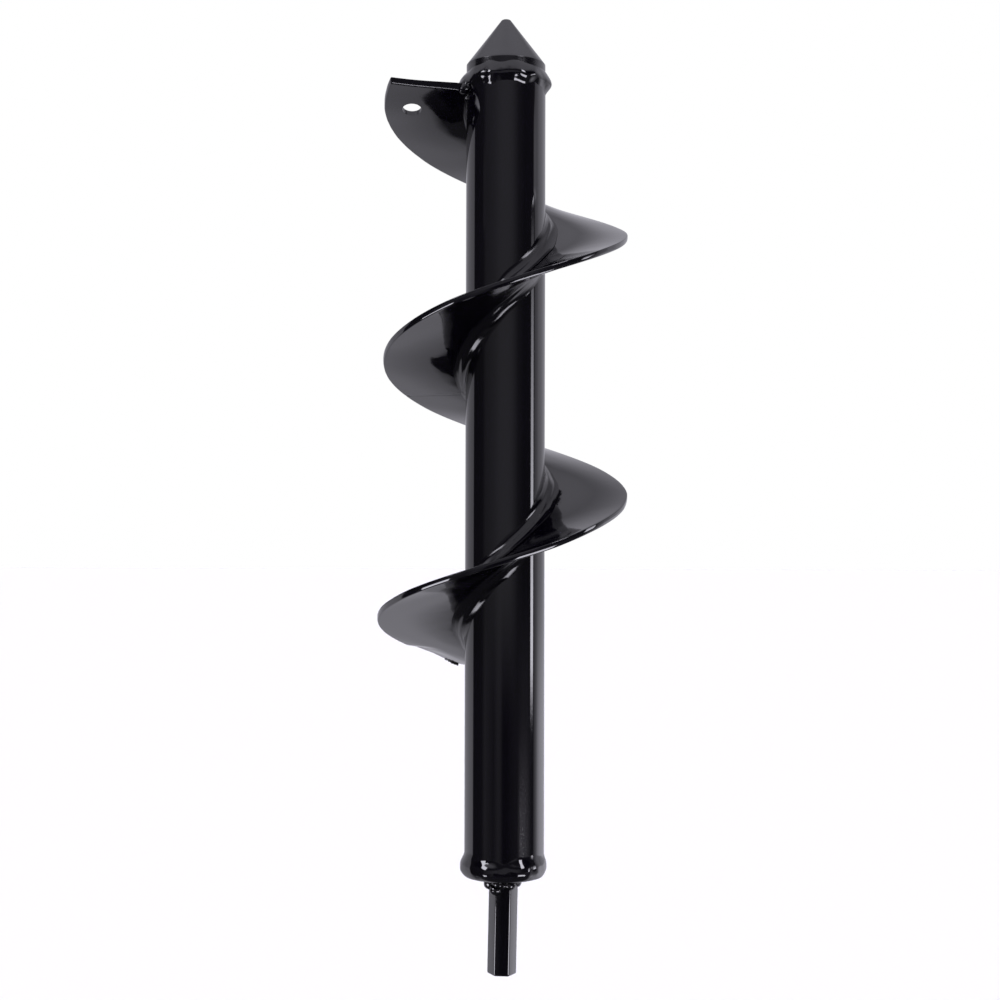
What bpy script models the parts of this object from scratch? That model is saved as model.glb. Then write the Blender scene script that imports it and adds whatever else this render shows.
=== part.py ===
"""Garden earth auger bit, 80 mm wide and 300 mm long, as the welded steel assembly it is.

The origin is the centre of the hexagon shank's end face. +Z runs along the tool's axis to the tip.
The flights are right-handed: seen from any side, the near half of each turn climbs to the right.
"""

import math

import bmesh
import bpy
from mathutils import Matrix, Vector

MM = 0.001
TOUCH_GAP = 0.3 * MM  # between pieces that touch on the real tool

# Tube, with the point at its top end and the drill's shank at its bottom end
TUBE_RADIUS = 12.5 * MM
TUBE_WALL = 1.5 * MM
TUBE_BOTTOM = 31.5 * MM
TUBE_TOP = 281.0 * MM
ROUND_STEPS = 48

# Point
TIP_HEIGHT = 300.5 * MM
TIP_FLAT_RADIUS = 1.2 * MM
TIP_SHOULDER_RADIUS = 1.7 * MM
TIP_SHOULDER_DROP = 0.5 * MM
CONE_BASE_RADIUS = 12.45 * MM
CONE_BASE_HEIGHT = 285.6 * MM
SPIGOT_LENGTH = 8.0 * MM

# Flights: two rings of plate, pulled out into one helix and butt-welded end to end
FLIGHT_PLATE = 1.8 * MM
FLIGHT_LEAD = 81.3 * MM
FLIGHT_HEIGHT_AT_X_AXIS = 231.6 * MM
FLIGHT_RADIUS = 38.3 * MM
TAIL_FLARE = 1.7 * MM
FLARE_START = math.radians(-400)
FLARE_FULL = math.radians(-560)
LEADING_EDGE = math.radians(202.5)
FLIGHT_JOINT = math.radians(-211.5)
TAIL_EDGE = math.radians(-607)
FLIGHT_STEP = math.radians(5)
FLIGHT_STRIPS = 3

# Hanging hole in the leading flight
HOLE_RADIUS = 3.0 * MM
HOLE_FROM_AXIS = 29.7 * MM
HOLE_ANGLE = math.radians(181.2)
HOLE_CUTTER_DEPTH = 8.0 * MM
HOLE_STEPS = 32

# Weld beads
ROOT_BEAD_RADIUS = 1.5 * MM
ROOT_BEAD_STEP = math.radians(10)
TOP_BEAD_START = math.radians(188)
UNDER_BEAD_START = math.radians(199)
BEAD_END_CLEARANCE = math.radians(4)
PASS_GAP = math.radians(1.4)
JOINT_BEAD_RADIUS = 0.9 * MM
JOINT_BEAD_NOTCH = 1.2 * MM
EDGE_BEAD_RADIUS = 1.4 * MM
EDGE_BEAD_SWELL = (0.75, 1.0, 0.95, 0.7, 0.35)
CUTTING_EDGE_BEAD_SPAN = (14.4 * MM, 19.5 * MM)
TAIL_BEAD_SPAN = (13.2 * MM, 17.5 * MM)
TIP_WELD_SPAN = (278.6 * MM, 284.2 * MM)
TIP_WELD_CROWN = 1.1 * MM
TUBE_END_WELD_SPAN = (30.9 * MM, 37.4 * MM)
TUBE_END_WELD_CROWN = 0.9 * MM
SHANK_WELD_BOTTOM = 26.9 * MM
SHANK_WELD_CROWN = 0.9 * MM
RING_BEAD_STEPS = 40
SHANK_WELD_STEPS = 32
RING_BEAD_ARC_POINTS = 7

# Drill end
PLUG_THICKNESS = 4.0 * MM
HEX_ACROSS_FLATS = 8.0 * MM
HEX_ACROSS_CORNERS = HEX_ACROSS_FLATS / math.cos(math.radians(30))
HEX_LENGTH = 50.0 * MM
HEX_TURN = math.radians(2)
HEX_CHAMFER = 0.6 * MM

# Every surface is under the same black paint; the beads under it are a little rougher
PAINT = (0.012, 0.012, 0.013, 1)
SMOOTH_PAINT_ROUGHNESS = 0.16
BEAD_PAINT_ROUGHNESS = 0.24
BARE_INSIDE = (0.22, 0.21, 0.20, 1)
BARE_ROUGHNESS = 0.5


def clear_scene():
    for thing in list(bpy.data.objects):
        bpy.data.objects.remove(thing, do_unlink=True)


def new_collection(name):
    collection = bpy.data.collections.new(name)
    bpy.context.scene.collection.children.link(collection)
    return collection


def finish(thing, colour, roughness, metallic):
    """Gives a sub-part its own material."""
    material = bpy.data.materials.new(thing.name + "_finish")
    material.use_nodes = True
    shader = material.node_tree.nodes["Principled BSDF"]
    shader.inputs["Base Color"].default_value = colour
    shader.inputs["Roughness"].default_value = roughness
    shader.inputs["Metallic"].default_value = metallic
    thing.data.materials.append(material)


def paint(thing, roughness=SMOOTH_PAINT_ROUGHNESS):
    finish(thing, PAINT, roughness, 0.0)


def add_part(name, data):
    """Links a sub-part to the tool's collection, under the tool's empty."""
    part = bpy.data.objects.new(name, data)
    PARTS.objects.link(part)
    part.parent = TOOL
    return part


def mesh_from(name, shape):
    mesh = bpy.data.meshes.new(name)
    shape.to_mesh(mesh)
    shape.free()
    return mesh


def turned(name, profile, steps, closed):
    """A turned piece. Its profile is (radius, height) points down the outer side, top to bottom."""
    shape = bmesh.new()
    points = [shape.verts.new((radius, 0, height)) for radius, height in profile]
    for start, end in zip(points, points[1:]):
        shape.edges.new((start, end))
    if closed:
        shape.edges.new((points[-1], points[0]))
    part = add_part(name, mesh_from(name, shape))
    screw = part.modifiers.new("turn", "SCREW")
    screw.steps = steps
    screw.render_steps = steps
    screw.use_smooth_shade = True
    screw.use_merge_vertices = True
    screw.merge_threshold = 0.00001
    return part


def rise_per_radian():
    return FLIGHT_LEAD / math.tau


def on_helicoid(radius, angle):
    """The point of the flights' middle surface at this radius and angle."""
    return Vector((
        radius * math.cos(angle),
        radius * math.sin(angle),
        FLIGHT_HEIGHT_AT_X_AXIS + rise_per_radian() * angle,
    ))


def upward_normal(radius, angle):
    """The direction square to the plate there, on its upper side."""
    rise = rise_per_radian()
    return Vector((rise * math.sin(angle), -rise * math.cos(angle), radius)).normalized()


def angle_along(length, radius):
    """The angle that a length along the plate takes up at this radius."""
    return length / math.hypot(radius, rise_per_radian())


def outer_radius(angle):
    """The flights' outer radius, which flares towards the tail."""
    along = (angle - FLARE_START) / (FLARE_FULL - FLARE_START)
    along = min(max(along, 0), 1)
    return FLIGHT_RADIUS + TAIL_FLARE * along * along * (3 - 2 * along)


def flight(name, start, end, start_trim, end_trim):
    """One ring of plate from one angle down to another; each end is cut back by its trim."""
    inner = TUBE_RADIUS + TOUCH_GAP
    shape = bmesh.new()
    bmesh.ops.create_grid(
        shape,
        x_segments=FLIGHT_STRIPS,
        y_segments=math.ceil((start - end) / FLIGHT_STEP),
        size=0.5,
    )
    for corner in shape.verts:
        across = corner.co.x + 0.5
        along = corner.co.y + 0.5
        rough_angle = start + (end - start) * along
        radius = inner + (outer_radius(rough_angle) - inner) * across
        first = start - angle_along(start_trim, radius)
        last = end + angle_along(end_trim, radius)
        corner.co = on_helicoid(radius, first + (last - first) * along)
    part = add_part(name, mesh_from(name, shape))
    plate = part.modifiers.new("plate", "SOLIDIFY")
    plate.thickness = FLIGHT_PLATE
    plate.offset = 0
    plate.use_even_offset = True
    paint(part)
    return part


def cut_hanging_hole(part):
    """Drills the hole square to the plate."""
    shape = bmesh.new()
    bmesh.ops.create_cone(
        shape,
        cap_ends=True,
        segments=HOLE_STEPS,
        radius1=HOLE_RADIUS,
        radius2=HOLE_RADIUS,
        depth=HOLE_CUTTER_DEPTH,
    )
    cutter = bpy.data.objects.new("hanging_hole_cutter", mesh_from("hanging_hole_cutter", shape))
    CUTTERS.objects.link(cutter)
    cutter.hide_render = True
    cutter.display_type = "WIRE"
    cutter.location = on_helicoid(HOLE_FROM_AXIS, HOLE_ANGLE)
    axis = upward_normal(HOLE_FROM_AXIS, HOLE_ANGLE)
    cutter.rotation_euler = axis.to_track_quat("Z", "Y").to_euler()
    hole = part.modifiers.new("hanging_hole", "BOOLEAN")
    hole.operation = "DIFFERENCE"
    hole.solver = "EXACT"
    hole.object = cutter


def bead(name, points, radius, swell=None):
    """A weld bead along these points. Swell scales its thickness at each one."""
    curve = bpy.data.curves.new(name, "CURVE")
    curve.dimensions = "3D"
    curve.bevel_depth = radius
    curve.bevel_resolution = 1
    curve.use_fill_caps = True
    spline = curve.splines.new("POLY")
    spline.points.add(len(points) - 1)
    for index, (target, point) in enumerate(zip(spline.points, points)):
        target.co = (*point, 1)
        target.radius = swell[index] if swell else 1
    part = add_part(name, curve)
    paint(part, BEAD_PAINT_ROUGHNESS)
    return part


def root_bead(name, side, start, end):
    """One pass of the fillet between the tube and a flight, on its top (+1) or under side (-1)."""
    radius = TUBE_RADIUS + TOUCH_GAP + ROOT_BEAD_RADIUS
    off_plate = side * (FLIGHT_PLATE / 2 + TOUCH_GAP + ROOT_BEAD_RADIUS)
    count = math.ceil((start - end) / ROOT_BEAD_STEP)
    angles = [start + (end - start) * index / count for index in range(count + 1)]
    points = [on_helicoid(radius, angle) + off_plate * upward_normal(radius, angle) for angle in angles]
    bead(name, points, ROOT_BEAD_RADIUS)


def root_beads(name, side, start, end):
    """Both passes along one side of a flight: the tool is turned over between them."""
    middle = (start + end) / 2
    root_bead(name + "_1", side, start, middle + PASS_GAP / 2)
    root_bead(name + "_2", side, middle - PASS_GAP / 2, end)


def edge_bead(name, edge_angle, outward, span):
    """The lump that closes a flight's end face against the tube, thinning away from it."""
    inner, outer = span
    count = len(EDGE_BEAD_SWELL)
    points = []
    for index in range(count):
        radius = inner + (outer - inner) * index / (count - 1)
        clear = angle_along(TOUCH_GAP + EDGE_BEAD_RADIUS, radius)
        points.append(on_helicoid(radius, edge_angle + outward * clear))
    bead(name, points, EDGE_BEAD_RADIUS, EDGE_BEAD_SWELL)


def make_core_tube():
    outer = TUBE_RADIUS
    inner = TUBE_RADIUS - TUBE_WALL
    length = TUBE_TOP - TUBE_BOTTOM
    profile = [(outer, length), (outer, 0), (inner, 0), (inner, length)]
    tube = turned("core_tube", profile, ROUND_STEPS, closed=True)
    tube.location.z = TUBE_BOTTOM
    paint(tube)


def make_tip_cone():
    seat = TUBE_TOP + TOUCH_GAP
    spigot = TUBE_RADIUS - TUBE_WALL - TOUCH_GAP
    profile = [
        (0, TIP_HEIGHT),
        (TIP_FLAT_RADIUS, TIP_HEIGHT),
        (TIP_SHOULDER_RADIUS, TIP_HEIGHT - TIP_SHOULDER_DROP),
        (CONE_BASE_RADIUS, CONE_BASE_HEIGHT),
        (CONE_BASE_RADIUS, seat),
        (spigot, seat),
        (spigot, seat - SPIGOT_LENGTH),
        (0, seat - SPIGOT_LENGTH),
    ]
    cone = turned("tip_cone", [(r, z - seat) for r, z in profile], ROUND_STEPS, closed=False)
    cone.location.z = seat
    paint(cone)


def ring_bead(name, inner, span, crown, steps=RING_BEAD_STEPS):
    """A bead right round the tool. It is half an oval in section, and crown is its height."""
    low, high = span
    middle = (low + high) / 2
    half = (high - low) / 2
    profile = []
    for index in range(RING_BEAD_ARC_POINTS):
        turn = math.pi * index / (RING_BEAD_ARC_POINTS - 1)
        profile.append((inner + crown * math.sin(turn), half * math.cos(turn)))
    ring = turned(name, profile, steps, closed=True)
    ring.location.z = middle
    paint(ring, BEAD_PAINT_ROUGHNESS)


def make_ring_beads():
    on_tube = TUBE_RADIUS + TOUCH_GAP
    ring_bead("tip_weld", on_tube, TIP_WELD_SPAN, TIP_WELD_CROWN)
    ring_bead("tube_end_weld", on_tube, TUBE_END_WELD_SPAN, TUBE_END_WELD_CROWN)
    on_shank = HEX_ACROSS_CORNERS / 2 + TOUCH_GAP
    shank_weld_span = (SHANK_WELD_BOTTOM, TUBE_BOTTOM - TOUCH_GAP)
    ring_bead("shank_weld", on_shank, shank_weld_span, SHANK_WELD_CROWN, SHANK_WELD_STEPS)


def make_end_plug():
    outer = TUBE_RADIUS - TUBE_WALL - TOUCH_GAP
    bore = HEX_ACROSS_CORNERS / 2 + TOUCH_GAP
    profile = [(outer, PLUG_THICKNESS), (outer, 0), (bore, 0), (bore, PLUG_THICKNESS)]
    plug = turned("end_plug", profile, ROUND_STEPS, closed=True)
    plug.location.z = TUBE_BOTTOM
    finish(plug, BARE_INSIDE, BARE_ROUGHNESS, 1.0)


def make_hex_shank():
    shape = bmesh.new()
    bmesh.ops.create_cone(
        shape,
        cap_ends=True,
        segments=6,
        radius1=HEX_ACROSS_CORNERS / 2,
        radius2=HEX_ACROSS_CORNERS / 2,
        depth=HEX_LENGTH,
        matrix=Matrix.Rotation(math.radians(30) + HEX_TURN, 4, "Z"),
    )
    lowest = min(corner.co.z for corner in shape.verts)
    end_edges = [
        edge for edge in shape.edges if all(corner.co.z < lowest + TOUCH_GAP for corner in edge.verts)
    ]
    bmesh.ops.bevel(shape, geom=end_edges, offset=HEX_CHAMFER, segments=1, affect="EDGES")
    shank = add_part("hex_shank", mesh_from("hex_shank", shape))
    shank.location.z = HEX_LENGTH / 2
    paint(shank)


def make_flights():
    trim = JOINT_BEAD_RADIUS + TOUCH_GAP
    upper = flight("upper_flight", LEADING_EDGE, FLIGHT_JOINT, 0, trim)
    cut_hanging_hole(upper)
    flight("lower_flight", FLIGHT_JOINT, TAIL_EDGE, trim, 0)


def make_flight_welds():
    at_joint = PASS_GAP / 2
    tail = TAIL_EDGE + BEAD_END_CLEARANCE
    root_beads("upper_top_weld", 1, TOP_BEAD_START, FLIGHT_JOINT + at_joint)
    root_beads("upper_under_weld", -1, UNDER_BEAD_START, FLIGHT_JOINT + at_joint)
    root_beads("lower_top_weld", 1, FLIGHT_JOINT - at_joint, tail)
    root_beads("lower_under_weld", -1, FLIGHT_JOINT - at_joint, tail)
    from_tube = TUBE_RADIUS + 2 * TOUCH_GAP
    to_edge = FLIGHT_RADIUS - JOINT_BEAD_NOTCH
    ends = [on_helicoid(radius, FLIGHT_JOINT) for radius in (from_tube, to_edge)]
    bead("flight_joint_weld", ends, JOINT_BEAD_RADIUS)
    edge_bead("cutting_edge_weld", LEADING_EDGE, 1, CUTTING_EDGE_BEAD_SPAN)
    edge_bead("tail_weld", TAIL_EDGE, -1, TAIL_BEAD_SPAN)


clear_scene()
PARTS = new_collection("soil_auger")
CUTTERS = new_collection("cutters")
TOOL = bpy.data.objects.new("auger_axis", None)
PARTS.objects.link(TOOL)
make_core_tube()
make_tip_cone()
make_flights()
make_flight_welds()
make_ring_beads()
make_end_plug()
make_hex_shank()
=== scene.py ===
"""The looks of the soil auger: glossy black enamel over tube, plate, cone and weld beads.

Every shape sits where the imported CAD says, and the helix uses the same few driving dimensions as
the CAD. Lengths are in metres and angles in radians, apart from the tables that say millimetres or
degrees. An angle of zero points along +X. A facing angle of zero points at -Y, where the camera
stands, and grows towards +X.
"""

import math

import bmesh
import bpy
from mathutils import Matrix, Vector, noise


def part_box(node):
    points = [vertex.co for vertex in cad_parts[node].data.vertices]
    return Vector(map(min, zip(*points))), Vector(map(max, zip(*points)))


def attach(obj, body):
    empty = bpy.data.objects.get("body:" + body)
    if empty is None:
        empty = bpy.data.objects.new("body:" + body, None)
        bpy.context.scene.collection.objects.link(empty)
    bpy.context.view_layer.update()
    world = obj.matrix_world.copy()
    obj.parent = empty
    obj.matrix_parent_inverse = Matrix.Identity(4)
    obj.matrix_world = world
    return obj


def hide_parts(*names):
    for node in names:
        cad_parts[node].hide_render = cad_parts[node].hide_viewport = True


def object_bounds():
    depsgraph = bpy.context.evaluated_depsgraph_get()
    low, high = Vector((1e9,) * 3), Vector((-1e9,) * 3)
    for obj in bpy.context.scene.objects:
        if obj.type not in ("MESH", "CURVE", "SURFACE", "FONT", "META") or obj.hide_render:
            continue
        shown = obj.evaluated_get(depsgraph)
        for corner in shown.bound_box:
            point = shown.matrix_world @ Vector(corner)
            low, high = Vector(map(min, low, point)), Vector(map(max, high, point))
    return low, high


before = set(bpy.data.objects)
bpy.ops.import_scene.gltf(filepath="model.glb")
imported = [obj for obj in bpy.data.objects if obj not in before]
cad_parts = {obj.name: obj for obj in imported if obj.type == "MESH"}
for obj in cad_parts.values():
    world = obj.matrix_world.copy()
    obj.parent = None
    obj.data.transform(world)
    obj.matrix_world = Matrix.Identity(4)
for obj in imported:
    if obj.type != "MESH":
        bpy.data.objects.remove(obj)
CAD_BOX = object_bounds()

MM = 0.001

# Read from the frame
TUBE_LOW, TUBE_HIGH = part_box("core_tube")
TUBE_RADIUS = (TUBE_HIGH.x - TUBE_LOW.x) / 2
CONE_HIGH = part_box("tip_cone")[1]
SHANK_LOW, SHANK_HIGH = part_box("hex_shank")

# The helix of the flights
FLIGHT_PLATE = 1.8 * MM
FLIGHT_LEAD = 81.3 * MM
FLIGHT_HEIGHT_AT_X_AXIS = 231.6 * MM
FLIGHT_RADIUS = 38.35 * MM
TAIL_FLARE = 1.7 * MM
FLARE_START = math.radians(-400)
FLARE_FULL = math.radians(-560)
LEADING_EDGE = math.radians(202.5)
FLIGHT_JOINT = math.radians(-211.5)
TAIL_EDGE = math.radians(-607)
HOLE_RADIUS = 3.0 * MM
HOLE_FROM_AXIS = 29.7 * MM
HOLE_ANGLE = math.radians(181.2)

# The camera stands level with the tool's middle and looks a degree upward
CAMERA_PLACE = Vector((0.0, -525.5, 139.2)) * MM
CAMERA_LENS = 60.1
CAMERA_UP = math.radians(1.0)
CAMERA_TO_LEFT = math.radians(0.17)
CAMERA_ROLL = math.radians(0.15)
FLOOR_DROP = 0.16
FLOOR_SIZE = 12.0

INTO_STEEL = 0.35 * MM  # how far a bead or an inner edge is buried, so that no gap shows


def smooth_step(value, low, high):
    """0 below low and 1 above high, with an even turn between them. Low may be the larger."""
    along = min(max((value - low) / (high - low), 0.0), 1.0)
    return along * along * (3 - 2 * along)


def bump_at(value, centre, width):
    """A smooth hump of height 1."""
    return math.exp(-(((value - centre) / width) ** 2))


def grain(place, size, seed=0.0):
    """Smooth noise from -1 to 1 with features of about this size."""
    return noise.noise(Vector(place) / size + Vector((seed, 1.7 * seed, -0.9 * seed)))


def facing(angle):
    """The point on a circle of radius 1 at this facing angle."""
    return Vector((math.sin(angle), -math.cos(angle), 0))


# ---------------------------------------------------------------- materials


def node(tree, kind, inputs=None, **settings):
    """Adds a node. Inputs, by name or by index, are set to a value or linked to a socket."""
    made = tree.nodes.new(kind)
    for key, value in settings.items():
        setattr(made, key, value)
    for key, value in (inputs or {}).items():
        if isinstance(value, bpy.types.NodeSocket):
            tree.links.new(value, made.inputs[key])
        else:
            made.inputs[key].default_value = value
    return made


def maths(tree, operation, *values, clamp=False):
    made = node(tree, "ShaderNodeMath", dict(enumerate(values)), operation=operation, use_clamp=clamp)
    return made.outputs["Value"]


def ranged(tree, value, low, high, to_low=0.0, to_high=1.0, curve="LINEAR"):
    """Value's place between low and high, as a number from to_low to to_high."""
    limits = {"From Min": low, "From Max": high, "To Min": to_low, "To Max": to_high}
    made = node(tree, "ShaderNodeMapRange", {"Value": value, **limits}, interpolation_type=curve)
    return made.outputs["Result"]


def blended(tree, factor, first, second, kind="RGBA"):
    made = node(tree, "ShaderNodeMix", {"Factor": factor, "A": first, "B": second}, data_type=kind)
    return made.outputs["Result"]


def noisy(tree, places, scale, detail):
    made = node(tree, "ShaderNodeTexNoise", {"Vector": places, "Scale": scale, "Detail": detail})
    return made.outputs["Fac"]


def facing_angle_of(tree, x, y):
    return maths(tree, "ARCTAN2", x, maths(tree, "MULTIPLY", y, -1.0))


# The painted sheen: a lighter grey, rougher stripe low on the right of the tube. Its fades are (none of it,
# all of it)
STRIPE_LEFT = (math.radians(18), math.radians(25))
STRIPE_RIGHT = (math.radians(43), math.radians(28))
STRIPE_TOP = (84 * MM, 44 * MM)
# The grey of the painted sheen on the tube
PAINTED_SHEEN_GREY = (0.0335, 0.032, 0.0345, 1)
STRIPE_ROUGHER = 0.25
STRIPE_GRAIN_SCALE = 2400.0
STRIPE_GRAIN = 0.45  # the share of the stripe that its grain can take away


def painted_sheen_stripe(tree, places):
    """How strong the painted sheen on the tube is at each place: a lighter grey stripe, broken up by grain.
    """
    x, y, z = node(tree, "ShaderNodeSeparateXYZ", {0: places}).outputs
    angle = facing_angle_of(tree, x, y)
    left = ranged(tree, angle, *STRIPE_LEFT, curve="SMOOTHSTEP")
    right = ranged(tree, angle, *STRIPE_RIGHT, curve="SMOOTHSTEP")
    along = ranged(tree, z, *STRIPE_TOP, curve="SMOOTHSTEP")
    specks = ranged(tree, noisy(tree, places, STRIPE_GRAIN_SCALE, 2.0), 0.4, 0.75, curve="SMOOTHSTEP")
    grainy = maths(tree, "ADD", maths(tree, "MULTIPLY", specks, STRIPE_GRAIN), 1 - STRIPE_GRAIN)
    inside = maths(tree, "MULTIPLY", maths(tree, "MULTIPLY", left, right), along)
    return maths(tree, "MULTIPLY", inside, grainy)


BLACK = (0.0006, 0.0004, 0.0013)
THIN_BLACK = tuple(channel * 2.4 for channel in BLACK)
BLOTCH_SCALE = 70.0
DUST_SCALE = 900.0
PEEL_DEPTH = 0.1 * MM
WAVE_DEPTH = 0.4 * MM


def enamel(name, rough, peel, wave=None, dust=0.0, shine=0.5, striped=False):
    """Black enamel: uneven gloss, orange peel and slow waves as bump, and dust set in the paint. Striped
    adds the painted sheen, a lighter grey stripe.

    Rough is (middle, spread), and peel and wave are (strength, scale).
    """
    material = bpy.data.materials.new(name)
    material.use_nodes = True
    tree = material.node_tree
    shader = tree.nodes["Principled BSDF"]
    shader.inputs["IOR"].default_value = 1.5
    shader.inputs["Specular IOR Level"].default_value = shine
    places = node(tree, "ShaderNodeTexCoord").outputs["Object"]

    blotch = noisy(tree, places, BLOTCH_SCALE, 3.0)
    colour = blended(tree, blotch, (*BLACK, 1), (*THIN_BLACK, 1))
    roughness = ranged(tree, blotch, 0.3, 0.7, rough[0] - rough[1], rough[0] + rough[1])
    if dust:
        cells = node(tree, "ShaderNodeTexVoronoi", {"Vector": places, "Scale": DUST_SCALE})
        specks = ranged(tree, cells.outputs["Distance"], 0.22, 0.05, 0.0, dust)
        roughness = maths(tree, "ADD", roughness, specks)
    if striped:
        # Painted sheen: the stripe turns the black enamel a lighter grey, and rougher
        stripe = painted_sheen_stripe(tree, places)
        colour = blended(tree, stripe, colour, PAINTED_SHEEN_GREY)
        roughness = maths(tree, "ADD", roughness, maths(tree, "MULTIPLY", stripe, STRIPE_ROUGHER))
    tree.links.new(colour, shader.inputs["Base Color"])
    tree.links.new(roughness, shader.inputs["Roughness"])

    skin = {"Strength": peel[0], "Distance": PEEL_DEPTH, "Height": noisy(tree, places, peel[1], 2.0)}
    normal = node(tree, "ShaderNodeBump", skin).outputs["Normal"]
    if wave:
        swell = {"Strength": wave[0], "Distance": WAVE_DEPTH, "Height": noisy(tree, places, wave[1], 1.5)}
        normal = node(tree, "ShaderNodeBump", {**swell, "Normal": normal}).outputs["Normal"]
    tree.links.new(normal, shader.inputs["Normal"])
    return material


# The tube's enamel carries the painted sheen stripe
TUBE_ENAMEL = enamel("tube_enamel", (0.05, 0.015), (0.03, 900.0), dust=0.1, striped=True)
PLATE_ENAMEL = enamel("plate_enamel", (0.07, 0.03), (0.05, 700.0), wave=(0.1, 110.0), dust=0.12)
BEAD_ENAMEL = enamel("bead_enamel", (0.07, 0.03), (0.06, 500.0), wave=(0.2, 420.0))
ROOT_ENAMEL = enamel("root_bead_enamel", (0.15, 0.05), (0.06, 500.0), wave=(0.05, 420.0), shine=0.3)
CONE_ENAMEL = enamel("cone_enamel", (0.2, 0.04), (0.1, 900.0), wave=(0.05, 160.0))
SHANK_ENAMEL = enamel("shank_enamel", (0.1, 0.03), (0.08, 800.0), wave=(0.08, 240.0), dust=0.1)


# ---------------------------------------------------------------- mesh tools


def stand_for(piece, slot, *nodes):
    """Puts a finished piece on the tool's one body, in the place of CAD nodes if any are named."""
    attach(piece, "root")
    if nodes:
        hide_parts(*nodes)


def piece_from(name, mesh, material, sharp=None):
    """A smoothly shaded object, but for the edges that turn by more than sharp degrees."""
    mesh.materials.append(material)
    mesh.shade_smooth()
    if sharp is not None:
        mesh.set_sharp_from_angle(angle=math.radians(sharp))
    piece = bpy.data.objects.new(name, mesh)
    bpy.context.scene.collection.objects.link(piece)
    return piece


def skinned(name, rings, closed_along, material, sharp=None):
    """A surface through rings of points. Each ring is a closed loop; open ends get flat caps."""
    around = len(rings[0])
    points = [point for ring in rings for point in ring]
    faces = []
    joins = len(rings) if closed_along else len(rings) - 1
    for index in range(joins):
        here = index * around
        there = (index + 1) % len(rings) * around
        for spot in range(around):
            after = (spot + 1) % around
            faces.append((here + spot, here + after, there + after, there + spot))
    sides = len(faces)
    if not closed_along:
        last = (len(rings) - 1) * around
        for start in (0, last):
            for spot in range(around // 2 - 1):
                far = around - 1 - spot
                faces.append((start + spot, start + spot + 1, start + far - 1, start + far))
    mesh = bpy.data.meshes.new(name)
    mesh.from_pydata(points, [], faces)
    shape = bmesh.new()
    shape.from_mesh(mesh)
    bmesh.ops.recalc_face_normals(shape, faces=shape.faces)
    shape.to_mesh(mesh)
    shape.free()
    piece = piece_from(name, mesh, material, sharp)
    for cap in mesh.polygons[sides:]:
        cap.use_smooth = False
    return piece


def lathed(name, profile, steps, material, wobble=None, sharp=None):
    """A turned surface from (radius, height) points. Wobble can move each one by its angle."""
    rings = []
    for index in range(steps):
        angle = math.tau * index / steps
        direction = facing(angle)
        ring = []
        for radius, height in profile:
            if wobble:
                radius, height = wobble(angle, radius, height)
            ring.append(direction * radius + Vector((0, 0, height)))
        rings.append(ring)
    return skinned(name, rings, True, material, sharp)


# ---------------------------------------------------------------- flights


RISE = FLIGHT_LEAD / math.tau  # for each radian
# How far the flights stand off the even helix, from being pulled out by hand: steps as (mm, from
# degrees, to degrees), and one hump as (mm, centre, width in degrees)
SPRING_STEPS = ((0.1, 60, 120), (-0.36, -160, -192), (1.0, -425, -495), (-0.12, -520, -570))
SPRING_HUMP = (0.32, -130, 38)


def spring_back(angle):
    height, centre, width = SPRING_HUMP
    total = height * bump_at(angle, math.radians(centre), math.radians(width))
    for height, low, high in SPRING_STEPS:
        total += height * smooth_step(angle, math.radians(low), math.radians(high))
    return total * MM


LEAD_PULL_START = math.radians(140)
LEAD_SAG_CENTRE, LEAD_SAG_WIDTH = math.radians(182), math.radians(13)


def lead_bend(radius, angle):
    """The leading end is pulled up beside the tube, and sags a little outside it."""
    near = smooth_step(radius, 34 * MM, 14 * MM)
    pulled = (0.5 * near - 0.15) * smooth_step(angle, LEAD_PULL_START, LEADING_EDGE)
    sagging = 0.45 * (1 - near) * bump_at(angle, LEAD_SAG_CENTRE, LEAD_SAG_WIDTH)
    return (pulled - sagging) * MM


def on_helicoid(radius, angle):
    """The point of the flights' middle surface at this radius and angle."""
    height = FLIGHT_HEIGHT_AT_X_AXIS + RISE * angle + spring_back(angle)
    return Vector((radius * math.cos(angle), radius * math.sin(angle), height))


def upward_normal(radius, angle):
    """The even helicoid's normal, on its upper side."""
    return Vector((RISE * math.sin(angle), -RISE * math.cos(angle), radius)).normalized()


def angle_along(length, radius):
    """The angle that a length along the plate takes up at this radius."""
    return length / math.hypot(radius, RISE)


def outer_radius(angle):
    """The flights' outer radius: flared at the tail, and never quite even."""
    flare = TAIL_FLARE * smooth_step(angle, FLARE_START, FLARE_FULL)
    along = angle * 38  # about the length along the edge, in mm
    rough = grain((along, 0, 0), 9, 3.0) * 0.13 + grain((along, 5, 0), 2.5, 8.0) * 0.05
    return FLIGHT_RADIUS + flare + rough * MM


def plate_warp(radius, angle):
    """The dents left by stretching the ring and by the heat of the root welds."""
    place = (radius * math.cos(angle), radius * math.sin(angle), RISE * angle)
    near_root = smooth_step(radius, 27 * MM, 14 * MM)
    slow = grain(place, 24 * MM, 5.0) * 0.22
    fine = grain(place, 5.5 * MM, 11.0) * 0.11 * near_root
    finest = grain(place, 2.4 * MM, 17.0) * 0.03 * near_root
    return lead_bend(radius, angle) + (slow + fine + finest) * MM


TAIL_BENT_UP = (math.radians(31), math.radians(24))  # from the tail edge: none of it, all of it
TAIL_CORNER = (math.radians(17), math.radians(1))


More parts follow.
